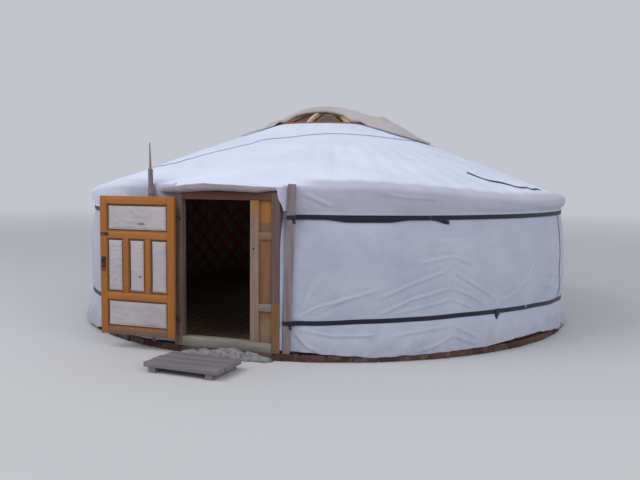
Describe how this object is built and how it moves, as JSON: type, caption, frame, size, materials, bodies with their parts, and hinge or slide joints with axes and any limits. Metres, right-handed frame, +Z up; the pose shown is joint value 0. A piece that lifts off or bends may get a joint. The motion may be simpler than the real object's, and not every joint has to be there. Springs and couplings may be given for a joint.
{
  "type": "yurt",
  "caption": "Round felt and canvas tent with a lattice wall, a cone roof on poles round a raised crown ring, a timber door frame with a hinged leaf and a plank doorstep",
  "frame": {"origin": "On the ground at the yurt's middle axis, level with the underside of its footing", "axes": "+Z up, the door faces -Y, +X to the right of somebody looking at the door from outside"},
  "size_m": [6.316, 7.0972, 2.7538],
  "materials": {
    "brick": "rough fired brick and stone",
    "floor_wood": "worn floor boards",
    "grey_wood": "weathered grey planks",
    "sill_wood": "bare weathered wood",
    "dark_wood": "dark bare wood",
    "painted_wood": "worn orange-brown paint",
    "pale_wood": "unpainted post",
    "iron": "rusty iron",
    "lattice_wood": "red-brown painted laths",
    "pole_wood": "orange-red painted poles",
    "felt": "grey felt and canvas",
    "wall_canvas": "pale grey-blue canvas over felt",
    "roof_canvas": "white canvas over felt",
    "pad_canvas": "quilted off-white canvas",
    "dark_webbing": "dark woven webbing"
  },
  "bodies": {
    "tent": {"brick_footing": "brick", "floor_joists": "floor_wood", "floor_boards": "floor_wood", "doorstep_planks": "grey_wood", "doorstep_bearers": "grey_wood", "door_sill": "sill_wood", "left_jamb": "dark_wood", "right_jamb": "painted_wood", "door_head": "painted_wood", "lock_post": "pale_wood", "side_panel": "painted_wood", "hinge_hooks": "iron", "lattice_1": "lattice_wood", "lattice_2": "lattice_wood", "lattice_3": "lattice_wood", "lattice_4": "lattice_wood", "lattice_5": "lattice_wood", "door_poles": "pole_wood", "roof_poles_1": "pole_wood", "roof_poles_2": "pole_wood", "roof_poles_3": "pole_wood", "roof_poles_4": "pole_wood", "crown_ring": "pole_wood", "crown_arches": "pole_wood", "crown_cover": "felt", "wall_cover_1": "wall_canvas", "wall_cover_2": "wall_canvas", "wall_cover_3": "wall_canvas", "wall_cover_4": "wall_canvas", "roof_cover_1": "roof_canvas", "roof_cover_2": "roof_canvas", "roof_cover_3": "roof_canvas", "roof_cover_4": "roof_canvas", "roof_cover_door": "roof_canvas", "roof_cover_flanks": "roof_canvas", "door_roll": "felt", "upper_band": "dark_webbing", "lower_band": "dark_webbing", "edge_batten": "grey_wood", "edge_pole": "grey_wood", "loose_strap": "dark_webbing"},
    "door_leaf": {"leaf_frame": "painted_wood", "leaf_boards": "painted_wood", "leaf_pads": "pad_canvas", "leaf_ironwork": "iron"}
  },
  "joints": [
    {"name": "door_hinge", "type": "hinge", "parent": "tent", "child": "door_leaf", "pos_m": [-0.503, -3.141, 0], "axis": [0, 0, 1], "range_deg": [0, 180]}
  ]
}
